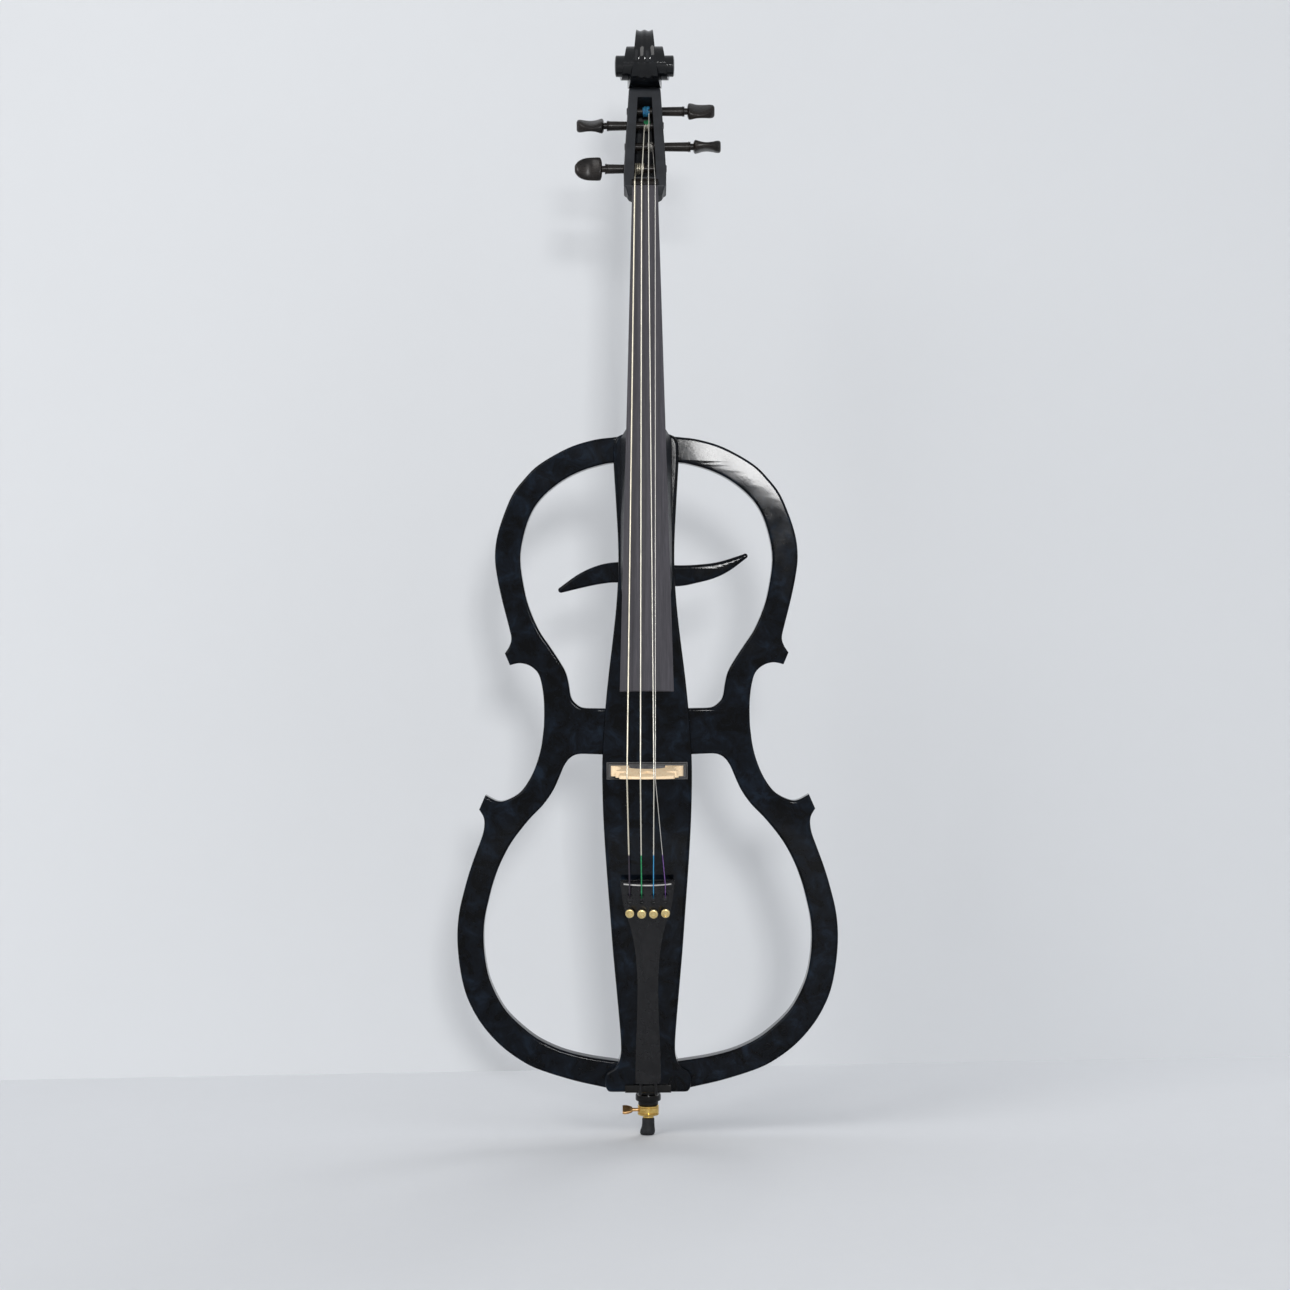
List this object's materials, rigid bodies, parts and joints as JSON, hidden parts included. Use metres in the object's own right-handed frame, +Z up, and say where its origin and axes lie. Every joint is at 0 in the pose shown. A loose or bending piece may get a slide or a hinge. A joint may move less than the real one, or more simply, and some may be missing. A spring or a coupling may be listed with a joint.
{
  "type": "electric cello",
  "caption": "Full-size electric cello: slim solid body inside an open cello-shaped frame, with scroll, pegs, strings, bridge, tailpiece with fine tuners and a sliding end pin.",
  "frame": {"origin": "middle of the end pin foot's flat underside, with the end pin pushed in", "axes": "+Z up the instrument from foot to scroll, -Y out of its front, +X to the right of someone facing the front"},
  "size_m": [0.4436, 0.1825, 1.2992],
  "materials": {
    "lacquer": "gloss near-black lacquer with a dark blue cloud in it",
    "board": "matt black-brown with long grain",
    "ebony": "satin black",
    "maple": "plain pale maple",
    "composite": "satin black",
    "tray": "satin black",
    "cord": "smooth black cord",
    "steel": "bright",
    "string": "flat wound, with coloured silk at both ends",
    "brass": "polished gold",
    "pale_brass": "pale satin gold",
    "rubber": "dark grey",
    "plastic": "fine satin black",
    "circuit": "green circuit board",
    "cell": "grey can"
  },
  "bodies": {
    "frame_body": {"spine": "lacquer", "wing_left": "lacquer", "wing_right": "lacquer", "chest_rest": "lacquer", "rest_screw_left": "steel", "rest_screw_right": "steel", "neck": "lacquer", "fingerboard": "board", "nut": "ebony", "bridge": "maple", "bridge_tray": "tray", "pickup": "steel", "tailpiece": "composite", "tail_fret": "composite", "tuner_axle": "steel", "tail_gut": "cord", "saddle": "ebony", "endpin_plug": "composite", "endpin_collar": "brass", "string_c": "string", "string_g": "string", "string_d": "string", "string_a": "string", "control_cover": "plastic", "preamp_board": "circuit", "output_jack": "steel", "headphone_jack": "steel", "cover_screw_1": "steel", "cover_screw_2": "steel", "cover_screw_3": "steel", "cover_screw_4": "steel", "battery": "cell"},
    "peg_c_set": {"peg_c": "ebony", "winding_c": "string"},
    "peg_g_set": {"peg_g": "ebony", "winding_g": "string"},
    "peg_d_set": {"peg_d": "ebony", "winding_d": "string"},
    "peg_a_set": {"peg_a": "ebony", "winding_a": "string"},
    "tuner_c_screw": {"tuner_screw_c": "pale_brass"},
    "tuner_c_knob": {"tuner_knob_c": "pale_brass"},
    "tuner_c_lever": {"lever_c": "pale_brass"},
    "tuner_g_screw": {"tuner_screw_g": "pale_brass"},
    "tuner_g_knob": {"tuner_knob_g": "pale_brass"},
    "tuner_g_lever": {"lever_g": "pale_brass"},
    "tuner_d_screw": {"tuner_screw_d": "pale_brass"},
    "tuner_d_knob": {"tuner_knob_d": "pale_brass"},
    "tuner_d_lever": {"lever_d": "pale_brass"},
    "tuner_a_screw": {"tuner_screw_a": "pale_brass"},
    "tuner_a_knob": {"tuner_knob_a": "pale_brass"},
    "tuner_a_lever": {"lever_a": "pale_brass"},
    "endpin": {"endpin_rod": "steel", "endpin_foot": "rubber"},
    "thumbscrew": {"endpin_thumbscrew": "brass"},
    "volume": {"volume_knob": "plastic"},
    "tone": {"tone_knob": "plastic"},
    "switch": {"power_switch": "steel"},
    "door": {"battery_door": "plastic"}
  },
  "joints": [
    {"name": "peg_c_turn", "type": "hinge", "parent": "frame_body", "child": "peg_c_set", "pos_m": [0, 0.01533, 1.13095], "axis": [-1, 0, 0], "continuous": true},
    {"name": "peg_g_turn", "type": "hinge", "parent": "frame_body", "child": "peg_g_set", "pos_m": [0, 0.02729, 1.18376], "axis": [-1, 0, 0], "continuous": true},
    {"name": "peg_d_turn", "type": "hinge", "parent": "frame_body", "child": "peg_d_set", "pos_m": [0, 0.03052, 1.20117], "axis": [1, 0, 0], "continuous": true},
    {"name": "peg_a_turn", "type": "hinge", "parent": "frame_body", "child": "peg_a_set", "pos_m": [0, 0.02253, 1.15792], "axis": [1, 0, 0], "continuous": true},
    {"name": "tuner_c_travel", "type": "slide", "parent": "frame_body", "child": "tuner_c_screw", "axis": [0, 0.9885, 0.1513], "range_m": [0, 0.003]},
    {"name": "tuner_c_turn", "type": "hinge", "parent": "tuner_c_screw", "child": "tuner_c_knob", "pos_m": [-0.0204, -0.06287, 0.26665], "axis": [0, 0.9885, 0.1513], "range_deg": [0, 1080]},
    {"name": "tuner_c_tilt", "type": "hinge", "parent": "frame_body", "child": "tuner_c_lever", "pos_m": [-0.0204, -0.05653, 0.28229], "axis": [1, 0, 0], "range_deg": [0, 12]},
    {"name": "tuner_g_travel", "type": "slide", "parent": "frame_body", "child": "tuner_g_screw", "axis": [0, 0.9885, 0.1513], "range_m": [0, 0.003]},
    {"name": "tuner_g_turn", "type": "hinge", "parent": "tuner_g_screw", "child": "tuner_g_knob", "pos_m": [-0.0068, -0.06724, 0.26598], "axis": [0, 0.9885, 0.1513], "range_deg": [0, 1080]},
    {"name": "tuner_g_tilt", "type": "hinge", "parent": "frame_body", "child": "tuner_g_lever", "pos_m": [-0.0068, -0.05653, 0.28229], "axis": [1, 0, 0], "range_deg": [0, 12]},
    {"name": "tuner_d_travel", "type": "slide", "parent": "frame_body", "child": "tuner_d_screw", "axis": [0, 0.9885, 0.1513], "range_m": [0, 0.003]},
    {"name": "tuner_d_turn", "type": "hinge", "parent": "tuner_d_screw", "child": "tuner_d_knob", "pos_m": [0.0068, -0.06724, 0.26598], "axis": [0, 0.9885, 0.1513], "range_deg": [0, 1080]},
    {"name": "tuner_d_tilt", "type": "hinge", "parent": "frame_body", "child": "tuner_d_lever", "pos_m": [0.0068, -0.05653, 0.28229], "axis": [1, 0, 0], "range_deg": [0, 12]},
    {"name": "tuner_a_travel", "type": "slide", "parent": "frame_body", "child": "tuner_a_screw", "axis": [0, 0.9885, 0.1513], "range_m": [0, 0.003]},
    {"name": "tuner_a_turn", "type": "hinge", "parent": "tuner_a_screw", "child": "tuner_a_knob", "pos_m": [0.0204, -0.06287, 0.26665], "axis": [0, 0.9885, 0.1513], "range_deg": [0, 1080]},
    {"name": "tuner_a_tilt", "type": "hinge", "parent": "frame_body", "child": "tuner_a_lever", "pos_m": [0.0204, -0.05653, 0.28229], "axis": [1, 0, 0], "range_deg": [0, 12]},
    {"name": "endpin_slide", "type": "slide", "parent": "frame_body", "child": "endpin", "axis": [0, 0, -1], "range_m": [0, 0.33]},
    {"name": "thumbscrew_turn", "type": "hinge", "parent": "frame_body", "child": "thumbscrew", "pos_m": [0, 0, 0.0292], "axis": [-1, 0, 0], "range_deg": [0, 720]},
    {"name": "volume_turn", "type": "hinge", "parent": "frame_body", "child": "volume", "pos_m": [-0.015, 0.03, 0.3231], "axis": [0, 1, 0], "range_deg": [-150, 150]},
    {"name": "tone_turn", "type": "hinge", "parent": "frame_body", "child": "tone", "pos_m": [0.015, 0.03, 0.3231], "axis": [0, 1, 0], "range_deg": [-150, 150]},
    {"name": "switch_slide", "type": "slide", "parent": "frame_body", "child": "switch", "axis": [1, 0, 0], "range_m": [0, 0.003]},
    {"name": "door_hinge", "type": "hinge", "parent": "frame_body", "child": "door", "pos_m": [0, 0.0218, 0.4487], "axis": [-1, 0, 0], "range_deg": [0, 90]}
  ],
  "couplings": [
    {"joint": "tuner_c_travel", "follows": "tuner_c_turn", "m_per_rad": 0.000111},
    {"joint": "tuner_c_tilt", "follows": "tuner_c_turn", "ratio": 0.00768},
    {"joint": "tuner_g_travel", "follows": "tuner_g_turn", "m_per_rad": 0.000111},
    {"joint": "tuner_g_tilt", "follows": "tuner_g_turn", "ratio": 0.00768},
    {"joint": "tuner_d_travel", "follows": "tuner_d_turn", "m_per_rad": 0.000111},
    {"joint": "tuner_d_tilt", "follows": "tuner_d_turn", "ratio": 0.00768},
    {"joint": "tuner_a_travel", "follows": "tuner_a_turn", "m_per_rad": 0.000111},
    {"joint": "tuner_a_tilt", "follows": "tuner_a_turn", "ratio": 0.00768}
  ]
}
